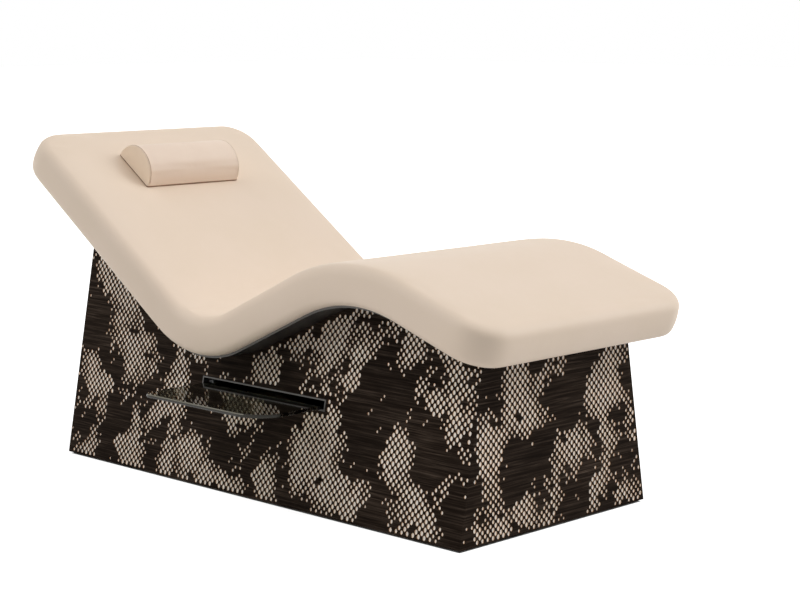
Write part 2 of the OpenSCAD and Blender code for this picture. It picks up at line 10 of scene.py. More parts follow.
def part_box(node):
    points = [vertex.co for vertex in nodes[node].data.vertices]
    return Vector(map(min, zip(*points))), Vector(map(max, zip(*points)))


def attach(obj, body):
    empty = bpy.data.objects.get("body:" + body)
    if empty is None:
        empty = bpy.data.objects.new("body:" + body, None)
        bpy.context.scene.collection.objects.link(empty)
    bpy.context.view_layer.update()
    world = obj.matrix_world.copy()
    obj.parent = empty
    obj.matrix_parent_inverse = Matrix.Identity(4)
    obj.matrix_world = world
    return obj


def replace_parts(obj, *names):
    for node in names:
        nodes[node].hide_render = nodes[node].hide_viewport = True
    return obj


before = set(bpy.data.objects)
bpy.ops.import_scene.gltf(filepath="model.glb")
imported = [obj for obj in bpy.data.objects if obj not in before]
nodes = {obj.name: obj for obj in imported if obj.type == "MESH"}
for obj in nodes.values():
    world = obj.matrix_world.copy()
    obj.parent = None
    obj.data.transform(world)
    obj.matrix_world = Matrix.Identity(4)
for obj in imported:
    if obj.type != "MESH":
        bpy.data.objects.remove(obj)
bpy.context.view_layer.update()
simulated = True

# Camera: focal length in pixels of the photograph's 800 px width, azimuth and
# downward pitch in radians
PHOTO_W = 800
SENSOR_W = 36.0
FOCAL_PX = 1945.96
CAMERA_AT = (3.9997, -3.8463, 1.3235)
CAMERA_AZIMUTH = 0.773975
CAMERA_PITCH = 0.144160

# Lying surface: ends of its straight stretches as (along, up), and its two radii
HEAD = Vector((-0.907, 0.989))
SEAT = Vector((-0.154, 0.471))
KNEE = Vector((0.438, 0.747))
FOOT = Vector((0.949, 0.575))
SEAT_R = 0.221
KNEE_R = 0.572
WAVE_STEPS = 220

# Housing. The points of its top line keep clear of the corners, and the slot in the
# board is a little smaller all round than its frame
BOARD_L = 1.630
BOARD_W = 0.750
BOARD_Z = 0.006
BOARD_T = 0.0015
HALF_L = BOARD_L / 2
LEAN = math.radians(10.2)
DECK_T = 0.006
TOP_CORNER_CLEAR = 0.003
SLOT_INSET = 0.002

# Triangles inside the outline only, and the distance that counts as one point
CUT_INSIDE = 1
CUT_EPSILON = 1e-7

# Ovals of the perforated boards
OVAL_W = 0.010
OVAL_H = 0.013
OVAL_PITCH = 0.020
OVAL_RISE = 0.021
OVAL_SIDES = 12
OVAL_MARGIN = 0.0012

# Patches: the pattern that the housing is built with, the value above which each of
# its ovals is there, and its share in the tone
PATCH_L = 0.310
PATCH_H = 0.290
PATCH_SWAY = math.radians(30)
PATCH_LEVEL = 0.76
PATCH_SHARE = 0.30

# Octaves that make the patches ragged: weight, length, height and shift of the seed
OCTAVES = ((0.85, 0.12, 0.21, 0), (0.50, 0.055, 0.08, 7), (0.34, 0.021, 0.024, 13))
TONE_DROP = 0.02
BEND = 0.03
BENDS_PER_METRE = 6
BEND_SEED = 31

# Size of an oval as a share of the full one. Each place has a chance from 0 to 1 of
# its own, by which strays stand outside the patches and gaps lie in them
STRAY_TONE = -0.30
STRAY_CHANCE = 0.90
STRAY_SIZE = 0.58
RIM_TONE = 0.16
RIM_GAP_CHANCE = 0.86
RIM_SIZE = 0.66
FIELD_GAP_CHANCE = 0.985
FIELD_SIZE = 0.70
LARGEST_SIZE = 1.04
SIZE_PER_TONE = 0.8
CHANCE_OFFSET = 0.25
CHANCE_SEED = 3

# Mattress
MATTRESS_W = 0.856
MATTRESS_T = 0.113
CORNER_R = 0.106
TOP_EDGE_R = 0.037
LOW_EDGE_R = 0.026
SWELL = 0.002
CROWN = 0.0025
CROWN_REACH = 0.15
MATTRESS_CAP = 0.002
MATTRESS_PRESSURE = 2.0
CORNER_STEPS = 9
ACROSS_STEPS = 16
TOP_EDGE_STEPS = 7
SIDE_STEPS = 5
LOW_EDGE_STEPS = 5

# Pillow: its station from the head edge, its lift off the cover, its sizes and its mesh,
# and for the simulation the cap, the share of it that the form starts smaller, the
# pressure and the height over which the base's hold eases
PILLOW_S = 0.145
PILLOW_LIFT = 0.0003
PILLOW_R = 0.0815
PILLOW_H = 0.078
PILLOW_L = 0.360
PILLOW_SOFT = 0.0035
PILLOW_FOOT = 0.003
PILLOW_ARC = (math.radians(3), math.radians(177))
PILLOW_TURNS = 46
PILLOW_BASE = 24
PILLOW_ACROSS = 68
PILLOW_CAP = 0.002
PILLOW_START_SHARE = 0.4
PILLOW_PRESSURE = 5.0
PILLOW_EASE = 0.01

# Rings of a pillow end, as shares of its outline, round a centre at a share of the
# radius, and the face normal that tells an end
END_RINGS = (0.93, 0.82, 0.68, 0.52, 0.36, 0.20, 0.08)
END_CENTRE = 0.42
END_FACING = 0.8

# Seams of the pillow. Their lines are cast on its cover from a line in its foam
SEAM_INSET = 0.0065
SEAM_STEPS = 40
SEAM_CAST_LIFT = 0.01
# The seam tubes are darker than the cover as painted shade of the seam's groove
GROOVE_R = {"near": 0.0012, "far": 0.0003}
GROOVE_SUNK = 0.0002
WELT_R = 0.0009
WELT_SUNK = 0.0003
WELT_APART = 0.0022
# The seam round the base is a cord whose dark brown is painted shadow where the pillow meets the
# cover
SEAM_SHADOW_R = 0.0012
SEAM_SHADOW_INSET = 0.0016
SEAM_SHADOW_CORNER = 0.004
SEAM_SHADOW_LIFT = 0.0011
TUBE_ROUNDNESS = 3

# Tray glass, and the limits of face normals that tell its polished edge and the top of its front
# arris, which gets a painted highlight
GLASS_HEAD_R = 0.028
GLASS_FOOT_R = 0.095
GLASS_ROUND = 0.0025
GLASS_TURNS = 6
GLASS_CORNER_STEPS = 16
GLASS_FLAT = 0.98
GLASS_SIDE = -0.2
GLASS_FRONT = -0.97
GLASS_HIGHLIGHT_TILT = 0.3

# Cloth of both padded covers
CLOTH_FRAMES = 20
CLOTH = {
    "quality": 6,
    "mass": 0.3,
    "tension_stiffness": 40,
    "compression_stiffness": 40,
    "shear_stiffness": 20,
    "bending_stiffness": 4,
    "use_pressure": True,
    "vertex_group_mass": "held",
}

# Soft suns: where each shines from, its power, and its angle in degrees
SUNS = {
    "left": ((-0.55, -0.75, 0.35), 0.48, 35),
    "right": ((0.60, 0.75, 0.50), 1.02, 35),
    "top_right": ((0.35, 0.35, 0.85), 1.22, 50),
    "top_left": ((-0.35, -0.45, 0.80), 0.94, 50),
}

# Studio: ambient light, and the floor that glows outside the housing only
AMBIENT = 0.078
AMBIENT_COLOUR = (1.0, 0.985, 0.96, 1)
WHITE = (1, 1, 1, 1)
FLOOR_REACH = 40
FLOOR_COLOUR = (0.8, 0.8, 0.8, 1)
FLOOR_GLOW = 0.8
GLOW_INSET = 0.005

# Levels by which the light tone of the painted shade is lighter than its dark one
SHADE_LIGHTER = 4


def add_object(name, data):
    item = bpy.data.objects.new(name, data)
    bpy.context.scene.collection.objects.link(item)
    return item


# Camera
camera_data = bpy.data.cameras.new("camera")
camera_data.sensor_width = SENSOR_W
camera_data.lens = SENSOR_W * FOCAL_PX / PHOTO_W
camera = add_object("camera", camera_data)
camera.location = CAMERA_AT
camera.rotation_euler = (math.pi / 2 - CAMERA_PITCH, 0, CAMERA_AZIMUTH)
bpy.context.scene.camera = camera


# Wave line


def heading(a, b):
    """Fall of the line from a to b, in radians."""
    return math.atan2(a.y - b.y, b.x - a.x)


def along(a):
    """Direction down a line that falls by a."""
    return Vector((math.cos(a), -math.sin(a)))


def off(a):
    """Direction square off a line that falls by a."""
    return Vector((math.sin(a), math.cos(a)))


BACK_A = heading(HEAD, SEAT)
RISE_A = heading(SEAT, KNEE)
LEG_A = heading(KNEE, FOOT)
SEAT_CUT = SEAT_R * math.tan((BACK_A - RISE_A) / 2)
KNEE_CUT = KNEE_R * math.tan((LEG_A - RISE_A) / 2)
S_SEAT = (SEAT - HEAD).length - SEAT_CUT
S_THIGH = S_SEAT + SEAT_R * (BACK_A - RISE_A)
S_KNEE = S_THIGH + (KNEE - SEAT).length - SEAT_CUT - KNEE_CUT
S_CALF = S_KNEE + KNEE_R * (LEG_A - RISE_A)
WAVE_L = S_CALF + (FOOT - KNEE).length - KNEE_CUT


def wave(s, n):
    """(x, z) at the station s from the head edge, lifted off the surface by n, and
    the fall there."""
    if s < S_SEAT:
        return HEAD + along(BACK_A) * s + off(BACK_A) * n, BACK_A
    if s < S_THIGH:
        a = BACK_A - (s - S_SEAT) / SEAT_R
        centre = HEAD + along(BACK_A) * S_SEAT + off(BACK_A) * SEAT_R
        return centre + off(a) * (n - SEAT_R), a
    if s < S_KNEE:
        start = SEAT + along(RISE_A) * SEAT_CUT
        return start + along(RISE_A) * (s - S_THIGH) + off(RISE_A) * n, RISE_A
    if s < S_CALF:
        a = RISE_A + (s - S_KNEE) / KNEE_R
        centre = KNEE - along(RISE_A) * KNEE_CUT - off(RISE_A) * KNEE_R
        return centre + off(a) * (n + KNEE_R), a
    start = KNEE + along(LEG_A) * KNEE_CUT
    return start + along(LEG_A) * (s - S_CALF) + off(LEG_A) * n, LEG_A


def on_wave(s, y, n):
    """Point in space at a station, a place across and a lift off the surface."""
    p = wave(s, n)[0]
    return Vector((p.x, y, p.y))


def steps(a, b, count):
    """Evenly spaced values from a to b, with both ends."""
    return [a + (b - a) * i / count for i in range(count + 1)]


# Underside of the deck as (x, z), which is the top of the boards, and the lying surface
ROOF = [wave(s, -MATTRESS_T - DECK_T)[0] for s in steps(0, WAVE_L, WAVE_STEPS)]
TOP_LINE = [wave(s, 0)[0] for s in steps(0, WAVE_L, WAVE_STEPS)]


def height_at(x, line):
    """Height at x of a line of points (x, z)."""
    i = min(max(bisect.bisect_left(line, x, key=lambda p: p.x), 1), len(line) - 1)
    a, b = line[i - 1], line[i]
    return a.y + (b.y - a.y) * max(0.0, min(1.0, (x - a.x) / (b.x - a.x)))


def roof_at(x):
    return height_at(x, ROOF)


# Meshes


def new_piece(name, verts, faces, material, smooth=True):
    mesh = bpy.data.meshes.new(name)
    mesh.from_pydata([tuple(v) for v in verts], [], faces)
    mesh.update()
    if smooth:
        mesh.polygons.foreach_set("use_smooth", [True] * len(mesh.polygons))
    mesh.materials.append(material)
    return add_object(name, mesh)


def subdivide(piece, levels):
    modifier = piece.modifiers.new("subdivision", "SUBSURF")
    modifier.levels = levels
    modifier.render_levels = levels


def band(lower, upper):
    """Quads between two closed rings of vertex numbers."""
    pairs = list(zip(lower, upper))
    return [(a, c, d, b) for (a, b), (c, d) in zip(pairs, pairs[1:] + pairs[:1])]


def bake(piece):
    """Turns what the modifiers of a piece make into its mesh."""
    graph = bpy.context.evaluated_depsgraph_get()
    mesh = bpy.data.meshes.new_from_object(piece.evaluated_get(graph))
    piece.modifiers.clear()
    piece.data = mesh
    return piece


def swell(piece, ease, pressure, cap):
    """Cloth simulation of a closed cover under the pressure of its foam. No point moves
    further than its ease, a share from 0 to 1, of the cap."""
    start = [v.co.copy() for v in piece.data.vertices]
    group = piece.vertex_groups.new(name=CLOTH["vertex_group_mass"])
    group.add([i for i, co in enumerate(start) if ease(co) == 0], 1.0, "REPLACE")
    modifier = piece.modifiers.new("cloth", "CLOTH")
    for key, value in CLOTH.items():
        setattr(modifier.settings, key, value)
    modifier.settings.uniform_pressure_force = pressure
    modifier.settings.effector_weights.gravity = 0
    modifier.point_cache.frame_start = 1
    modifier.point_cache.frame_end = CLOTH_FRAMES
    for step in range(1, CLOTH_FRAMES + 1):
        bpy.context.scene.frame_set(step)
    bake(piece)
    bpy.context.scene.frame_set(1)
    piece.vertex_groups.clear()
    for vertex, old in zip(piece.data.vertices, start):
        move = vertex.co - old
        reach = cap * ease(old)
        if move.length > reach:
            vertex.co = old + move * (reach / move.length)


# Node trees


def linear(r, g, b):
    """A colour written as 0 to 255, as the linear values that shaders take."""
    return tuple(
        c / 12.92 if c <= 0.04045 else ((c + 0.055) / 1.055) ** 2.4
        for c in (r / 255, g / 255, b / 255)
    )


class Tree:
    """A node tree and short calls that add nodes to it."""

    def __init__(self, tree):
        self.tree = tree

    def add(self, kind, **values):
        """Adds a node. Each value goes to its property or socket of that name."""
        node = self.tree.nodes.new(kind)
        for key, value in values.items():
            if hasattr(node, key):
                setattr(node, key, value)
            else:
                node.inputs[key.replace("_", " ")].default_value = value
        return node

    def feed(self, socket, value):
        """Links a value that is a socket, and sets any other."""
        if isinstance(value, bpy.types.NodeSocket):
            self.tree.links.new(value, socket)
        else:
            socket.default_value = value

    def maths(self, operation, a, b=0.0):
        node = self.add("ShaderNodeMath", operation=operation)
        self.feed(node.inputs[0], a)
        self.feed(node.inputs[1], b)
        return node.outputs["Value"]

    def between(self, value, low, high):
        """Takes a value from 0 to 1 to one from low to high."""
        node = self.add("ShaderNodeMapRange", To_Min=low, To_Max=high)
        self.feed(node.inputs["Value"], value)
        return node.outputs["Result"]


class Look(Tree):
    """A material whose textures lie in the metres of the object."""

    def __init__(self, name):
        self.material = bpy.data.materials.new(name)
        self.material.use_nodes = True
        super().__init__(self.material.node_tree)
        self.shader = self.tree.nodes["Principled BSDF"]
        self.place = self.add("ShaderNodeTexCoord").outputs["Object"]

    def set(self, **values):
        for key, value in values.items():
            self.shader.inputs[key.replace("_", " ")].default_value = value

    def mapped(self, scale=(1, 1, 1)):
        node = self.add("ShaderNodeMapping", Scale=scale)
        self.feed(node.inputs["Vector"], self.place)
        return node.outputs["Vector"]

    def noise(self, vector, scale, detail=4.0, rough=0.5, twist=0.0):
        node = self.add("ShaderNodeTexNoise", Scale=scale, Detail=detail)
        node.inputs["Roughness"].default_value = rough
        node.inputs["Distortion"].default_value = twist
        self.feed(node.inputs["Vector"], vector)
        return node.outputs["Fac"]

    def cells(self, vector, **values):
        node = self.add("ShaderNodeTexVoronoi", **values)
        self.feed(node.inputs["Vector"], vector)
        return node.outputs["Distance"]

    def ramp(self, value, *stops):
        node = self.add("ShaderNodeValToRGB")
        ramp = node.color_ramp
        while len(ramp.elements) < len(stops):
            ramp.elements.new(0.5)
        for element, (position, colour) in zip(ramp.elements, stops):
            element.position = position
            element.color = (*colour, 1)
        self.feed(node.inputs["Fac"], value)
        return node.outputs["Color"]

    def shades(self, value, light, dark, low=0.3, high=0.7):
        """The dark colour up to the low value, and the light one from the high value on."""
        return self.ramp(value, (low, linear(*dark)), (high, linear(*light)))

    def mix(self, share, a, b, kind="MIX"):
        node = self.add("ShaderNodeMix", data_type="RGBA", blend_type=kind)
        for name, value in (("Factor", share), ("A", a), ("B", b)):
            self.feed(next(s for s in node.inputs if s.name == name and s.enabled), value)
        return next(s for s in node.outputs if s.enabled)

    def facing(self, direction, least):
        """1 where the surface faces a direction by more than the least product."""
        node = self.add("ShaderNodeVectorMath", operation="DOT_PRODUCT")
        normal = self.add("ShaderNodeNewGeometry").outputs["True Normal"]
        self.feed(node.inputs[0], direction)
        self.feed(node.inputs[1], normal)
        return self.maths("GREATER_THAN", node.outputs["Value"], least)

    def bump(self, height, distance, strength=1.0):
        node = self.add("ShaderNodeBump", Distance=distance, Strength=strength)
        self.feed(node.inputs["Height"], height)
        if self.shader.inputs["Normal"].links:
            self.feed(node.inputs["Normal"], self.shader.inputs["Normal"].links[0].from_socket)
        self.feed(self.shader.inputs["Normal"], node.outputs["Normal"])

    def colour(self, socket):
        self.feed(self.shader.inputs["Base Color"], socket)

    def rough(self, value, low, high):
        self.feed(self.shader.inputs["Roughness"], self.between(value, low, high))


# Materials


def leatherette(name, light, dark):
    m = Look(name)
    plain = m.mapped()
    tone = m.noise(plain, scale=5.0, detail=3.0, rough=0.6)
    m.colour(m.shades(tone, light, dark, low=0.35, high=0.65))
    grain = m.cells(plain, feature="DISTANCE_TO_EDGE", Scale=650.0)
    m.bump(grain, distance=0.00006, strength=0.5)
    m.bump(m.noise(plain, scale=38.0, detail=2.0), distance=0.0006, strength=0.35)
    m.rough(m.noise(plain, scale=60.0, detail=3.0, rough=0.6), low=0.42, high=0.56)
    m.set(Specular_IOR_Level=0.35, Sheen_Weight=0.06, Sheen_Roughness=0.5)
    return m.material


def wenge(name):
    """Dark veneer whose grain runs along the boards."""
    m = Look(name)
    swirl = m.noise(m.mapped((1.2, 1.2, 3.0)), scale=2.2, detail=2.0)
    lines = m.noise(m.mapped((1.6, 1.6, 62.0)), scale=3.2, detail=8.0, rough=0.62, twist=0.6)
    fine = m.noise(m.mapped((9, 9, 900)), scale=1.0, detail=3.0)
    streaks = m.ramp(
        lines,
        (0.30, linear(21, 14, 9)),
        (0.46, linear(38, 30, 24)),
        (0.58, linear(59, 50, 43)),
        (0.74, linear(94, 82, 72)),
    )
    shade = m.ramp(swirl, (0.3, (0.72, 0.70, 0.70)), (0.7, (1.15, 1.12, 1.10)))
    pores = m.ramp(fine, (0.38, (0.55, 0.52, 0.50)), (0.50, (1, 1, 1)))
    m.colour(m.mix(1.0, m.mix(1.0, streaks, shade, "MULTIPLY"), pores, "MULTIPLY"))
    m.bump(fine, distance=0.00012, strength=0.5)
    m.bump(lines, distance=0.0003, strength=0.3)
    m.rough(lines, low=0.5, high=0.66)
    m.set(Specular_IOR_Level=0.015)
    return m.material


def cream_panel(name):
    """Pale cream on the side that looks away from the middle of the housing; near black on the
    side that looks in, as painted shade of the housing's inside.
    """
    m = Look(name)
    plain = m.mapped()
    tone = m.noise(plain, scale=14.0, rough=0.7)
    face = m.shades(tone, (255, 250, 242), (255, 243, 228))
    # Painted shade: the side that looks into the housing is dark in place of the shade in there
    shade_inside = m.shades(tone, (38, 34, 31), (24, 21, 19))
    level = m.add("ShaderNodeVectorMath", operation="MULTIPLY")
    m.feed(level.inputs[0], m.place)
    m.feed(level.inputs[1], (1, 1, 0))
    m.colour(m.mix(m.facing(level.outputs["Vector"], 0.0), shade_inside, face))
    m.bump(m.noise(plain, scale=900.0, detail=2.0), distance=0.00003, strength=0.4)
    m.rough(tone, low=0.55, high=0.7)
    return m.material


def timber(name, light, dark):
    m = Look(name)
    lines = m.noise(m.mapped((5, 40, 40)), scale=2.0, detail=5.0, rough=0.6, twist=0.8)
    m.colour(m.shades(lines, light, dark, low=0.35, high=0.65))
    m.bump(lines, distance=0.0002, strength=0.4)
    m.rough(lines, low=0.55, high=0.75)
    return m.material


def paint_finish(m, plain, low=0.4, high=0.55):
    """Fine bumps and uneven gloss, as sprayed paint and moulded parts have."""
    m.bump(m.noise(plain, scale=1200.0, detail=2.0), distance=0.00004, strength=0.5)
    m.rough(m.noise(plain, scale=90.0, detail=3.0), low, high)
    return m.material


def painted(name, light, dark, low=0.4, high=0.55):
    """Paint, nylon, rubber or thread in two close tones, as rough as low to high."""
    m = Look(name)
    plain = m.mapped()
    m.colour(m.shades(m.noise(plain, scale=30.0), light, dark))
    return paint_finish(m, plain, low, high)


def painted_face(name, light, dark, shade_colour, axis, least):
    """Paint on the faces that look along an axis, and painted shade, a near-black colour, on the
    others.
    """
    m = Look(name)
    plain = m.mapped()
    tone = m.noise(plain, scale=30.0)
    paint = m.shades(tone, light, dark)
    # Painted shade: the faces that look away from the axis are dark in place of their shade
    lighter = [c + SHADE_LIGHTER for c in shade_colour]
    shade_tones = m.shades(tone, lighter, shade_colour)
    m.colour(m.mix(m.facing(axis, least), shade_tones, paint))
    return paint_finish(m, plain)


def metal(name, light, dark, stretch=(1, 60, 60)):
    m = Look(name)
    lines = m.noise(m.mapped(stretch), scale=30.0, rough=0.6)
    m.colour(m.shades(lines, light, dark))
    m.bump(lines, distance=0.00003, strength=0.5)
    m.rough(lines, low=0.28, high=0.42)
    m.set(Metallic=1.0)
    return m.material


def foam(name, light, dark):
    m = Look(name)
    cells = m.cells(m.place, Scale=700.0)
    m.colour(m.shades(cells, light, dark, low=0.0, high=0.8))
    m.bump(cells, distance=0.0002, strength=0.6)
    m.set(Roughness=0.9)
    return m.material


def smoked_glass(name, light, dark):
    m = Look(name)
    plain = m.mapped()
    m.colour(m.shades(m.noise(plain, scale=4.0, detail=2.0), light, dark))
    m.rough(m.noise(plain, scale=25.0), low=0.015, high=0.05)
    m.set(Transmission_Weight=1.0, IOR=1.47)
    return m.material


def glass_edge(name, light, dark):
    m = Look(name)
    tone = m.noise(m.mapped(), scale=18.0, detail=3.0)
    m.colour(m.shades(tone, light, dark))
    m.rough(tone, low=0.14, high=0.24)
    m.set(IOR=1.47, Specular_IOR_Level=0.3)
    return m.material


looks = {
    "board": wenge("wenge_veneer"),
    "core": painted("board_core", (240, 202, 164), (222, 184, 144), 0.7, 0.8),
    "panel": cream_panel("cream_panel"),
    "mattress": leatherette("mattress_leatherette", (240, 220, 200), (238, 218, 197)),
    "pillow": leatherette("pillow_leatherette", (243, 222, 203), (239, 217, 198)),
    # Painted light: the pillow's flat ends are a lighter copy of its leatherette, in place of
    # the light the mattress top throws back on them
    "pillow_end": leatherette("pillow_end_leatherette_painted_light", (253, 234, 211), (248, 227, 204)),
    "thread": painted("welt", (244, 226, 206), (238, 218, 197), 0.5, 0.6),
    # Painted shade: the seam's colour is darker than the cover in place of the shade in its
    # groove
    "seam": painted("seam", (198, 164, 138), (184, 150, 124), 0.6, 0.7),
    # Painted shadow: a seam round the pillow's base, dark brown in place of the shadow line
    # under the pillow
    "seam_painted_shadow": painted("seam_painted_shadow", (148, 106, 74), (128, 90, 62), 0.7, 0.8),
    "timber": timber("spruce", (214, 182, 138), (188, 150, 104)),
    "plywood": timber("film_faced_plywood", (58, 43, 34), (40, 30, 24)),
    # Painted shade: the deck is grey paint, and near black underneath in place of its shade
    "deck": painted_face(
        "deck_paint_and_painted_shade", (92, 89, 85), (80, 77, 73), (19, 17, 16), axis=(0, 0, 1), least=-0.6
    ),
    "trim": painted("clamp_paint", (98, 96, 92), (84, 82, 78), 0.3, 0.42),
    # Painted shade: the slot frame is grey on its front and near black inside, in place of the
    # shade in the slot
    "slot": painted_face(
        "slot_paint_and_painted_shade", (94, 91, 87), (80, 77, 74), (20, 19, 18), axis=(0, -1, 0), least=0.8
    ),
    "runner": metal("runner_aluminium", (200, 202, 204), (180, 182, 184)),
    "screw": metal("screw_steel", (176, 177, 180), (150, 151, 154), (40, 40, 40)),
    "nylon_black": painted("black_nylon", (46, 46, 47), (36, 36, 37), 0.45, 0.6),
    "nylon_white": painted("white_nylon", (228, 226, 218), (216, 214, 206), 0.4, 0.5),
    "rubber": painted("stop_rubber", (36, 36, 36), (27, 27, 27), 0.7, 0.85),
    "foam": foam("foam", (238, 226, 184), (214, 200, 150)),
    "glass": smoked_glass("smoked_glass", (150, 153, 140), (142, 145, 132)),
    "glass_edge": glass_edge("glass_edge", (50, 47, 38), (43, 41, 33)),
    # Painted highlight: a lighter copy of the edge material for the top of the front arris
    "glass_arris_painted_highlight": glass_edge("glass_arris_painted_highlight", (122, 118, 101), (110, 106, 91)),
}
look_nodes = {
    "panel": ("panel_near", "panel_far", "panel_head", "panel_foot"),
    "timber": ("corner_posts", "plinth_rails_long", "plinth_rails_cross", "deck_bearers"),
    "plywood": ("bulkheads",),
    "deck": ("bent_deck",),
    "foam": ("mattress_foam", "pillow_core"),
    "slot": ("slot_frame",),
    "runner": ("runner_rails",),
    "rubber": ("front_stops", "rear_stops"),
    "nylon_black": ("glides",),
    "nylon_white": ("tray_slide_pads",),
    "trim": ("tray_clamp_bar",),
    "screw": ("deck_screws", "runner_screws", "glide_screws", "tray_clamp_screws"),
}
for look, names in look_nodes.items():
    for name in names:
        nodes[name].data.materials.clear()
        nodes[name].data.materials.append(looks[look])


# Ovals


def mottle(u, v):
    """The patch pattern that the housing is built with, between -1 and 1."""
    across = 2 * math.pi * v / PATCH_H
    return math.sin(2 * math.pi * u / PATCH_L + PATCH_SWAY * math.sin(across)) * math.sin(
        across + PATCH_SWAY * math.sin(math.pi * u / PATCH_L)
    )


def patch_tone(u, v, seed):
    """Tone of the generic mottled pattern at a place, above 0 where ovals are open."""
    bend_at = Vector((u * BENDS_PER_METRE, v * BENDS_PER_METRE, seed + BEND_SEED))
    bend = BEND * noise.noise(bend_at)
    u, v = u + bend, v - bend
    value = PATCH_SHARE * mottle(u, v)
    for weight, length, height, shift in OCTAVES:
        value += weight * noise.noise(Vector((u / length, v / height, seed + shift)))
    return value - TONE_DROP


def oval_size(u, v, seed):
    """Share of the full size of the oval at a place; 0 where the board is bare."""
    if mottle(u, v) > PATCH_LEVEL:
        return 1.0
    value = patch_tone(u, v, seed)
    column = u / OVAL_PITCH + CHANCE_OFFSET
    row = v / OVAL_RISE + CHANCE_OFFSET
    chance = abs(noise.cell(Vector((column, row, seed + CHANCE_SEED))))
    if value < 0:
        return STRAY_SIZE if value > STRAY_TONE and chance > STRAY_CHANCE else 0
    if value < RIM_TONE:
        return 0 if chance > RIM_GAP_CHANCE else RIM_SIZE + SIZE_PER_TONE * value
    if chance > FIELD_GAP_CHANCE:
        return 0
    return min(LARGEST_SIZE, FIELD_SIZE + SIZE_PER_TONE * value)


def ovals(half_l, top_v, seed, free, low_v=0.0, shift=0.0):
    """Rings of the ovals in a board, as lists of points (u, v). free says where one
    fits, low_v is where the rows start, and shift moves the pattern along."""
    rings = []
    for j in range(int(top_v / OVAL_RISE * 2) + 1):
        for i in range(-int(half_l / OVAL_PITCH) - 1, int(half_l / OVAL_PITCH) + 2):
            u, v = (i + (j % 2) / 2) * OVAL_PITCH, low_v + j * OVAL_RISE / 2
            size = oval_size(u + shift, v, seed)
            a, b = OVAL_W / 2 * size, OVAL_H / 2 * size
            if size and free(u, v, a + OVAL_MARGIN, b + OVAL_MARGIN):
                turns = [2 * math.pi * k / OVAL_SIDES for k in range(OVAL_SIDES)]
                rings.append([(u + a * math.cos(t), v + b * math.sin(t)) for t in turns])
    return rings


# Boards


def cut_sheet(rings):
    """Triangles that fill the first ring and leave out the others, its holes: the
    points, the faces, and the new number of each point of the rings."""
    flat, edges, owner = [], [], []
    for k, ring in enumerate(rings):
        start = len(flat)
        flat += ring
        owner += [k] * len(ring)
        edges += [(start + i, start + (i + 1) % len(ring)) for i in range(len(ring))]
    points, _, triangles, sources, _, _ = geometry.delaunay_2d_cdt(
        [Vector(p) for p in flat], edges, [], CUT_INSIDE, CUT_EPSILON
    )
    source = [owner[s[0]] if s else 0 for s in sources]

    # A triangle between the points of one hole lies in that hole
    faces = [tuple(f) for f in triangles if source[f[0]] == 0 or len({source[i] for i in f}) > 1]
    return points, faces, {k: i for i, s in enumerate(sources) for k in s}


def perforated(name, node, outline, inner, holes, place, flip):
    """A thin board: its outer face with the holes cut out, and all its edges. inner
    gives the outline's points on the inner face."""
    rings = [outline] + holes
    points, faces, placed = cut_sheet(rings)
    walls_from = len(faces) + len(outline)
    verts = [place(p.x, p.y, 0) for p in points]
    start = 0
    for ring, deep in zip(rings, [inner] + holes):
        base = len(verts)
        verts += [place(u, v, BOARD_T) for u, v in deep]
        for i in range(len(ring)):
            j = (i + 1) % len(ring)
            faces.append((placed[start + i], base + i, base + j, placed[start + j]))
        start += len(ring)
    if flip:
        faces = [f[::-1] for f in faces]
    piece = new_piece(name, verts, faces, looks["board"], smooth=False)
    piece.data.materials.append(looks["core"])
    for wall in piece.data.polygons[walls_from:]:
        wall.material_index = 1
    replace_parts(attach(piece, "base"), node)


SLOT_LOW, SLOT_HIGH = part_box("slot_frame")


def up_slope(z):
    """How far up a leaning board a height is reached."""
    return (z - BOARD_Z) / math.cos(LEAN)


def side_outlines():
    """Outlines of a long board's outer and inner face, counterclockwise seen from
    outside."""
    tops = [(x, z) for x, z in ROOF if abs(x) < HALF_L - TOP_CORNER_CLEAR]
    tops = [(-HALF_L, roof_at(-HALF_L))] + tops + [(HALF_L, roof_at(HALF_L))]
    outer = [(-HALF_L, 0), (HALF_L, 0)] + [(x, up_slope(z)) for x, z in reversed(tops)]
    limit, low = HALF_L - BOARD_T, BOARD_T * math.tan(LEAN)
    inner = [(max(-limit, min(limit, u)), v if v else low) for u, v in outer]
    return outer, inner


def side_board(name, node, seed, side, slotted):
    """A long board, drawn as the near one. side is 1 for the near and -1 for the far."""
    outer, inner = side_outlines()
    slot_u0, slot_u1 = SLOT_LOW.x, SLOT_HIGH.x
    slot_v0, slot_v1 = up_slope(SLOT_LOW.z), up_slope(SLOT_HIGH.z)

    def free(u, v, a, b):
        top = up_slope(min(roof_at(u - a), roof_at(u), roof_at(u + a)))
        in_slot = slot_u0 - a < u < slot_u1 + a and slot_v0 - b < v < slot_v1 + b
        return abs(u) < HALF_L - a and b < v < top - b and not (slotted and in_slot)

    holes = ovals(HALF_L, up_slope(max(z for _, z in ROOF)), seed, free)
    if slotted:
        left, right = slot_u0 + SLOT_INSET, slot_u1 - SLOT_INSET
        below, above = slot_v0 + SLOT_INSET, slot_v1 - SLOT_INSET
        holes.append([(left, below), (right, below), (right, above), (left, above)])

    def place(u, v, depth):
        y = -BOARD_W / 2 + v * math.sin(LEAN) + depth * math.cos(LEAN)
        return Vector((u, side * y, BOARD_Z + v * math.cos(LEAN) - depth * math.sin(LEAN)))

    perforated(name, node, outer, inner, holes, place, side < 0)


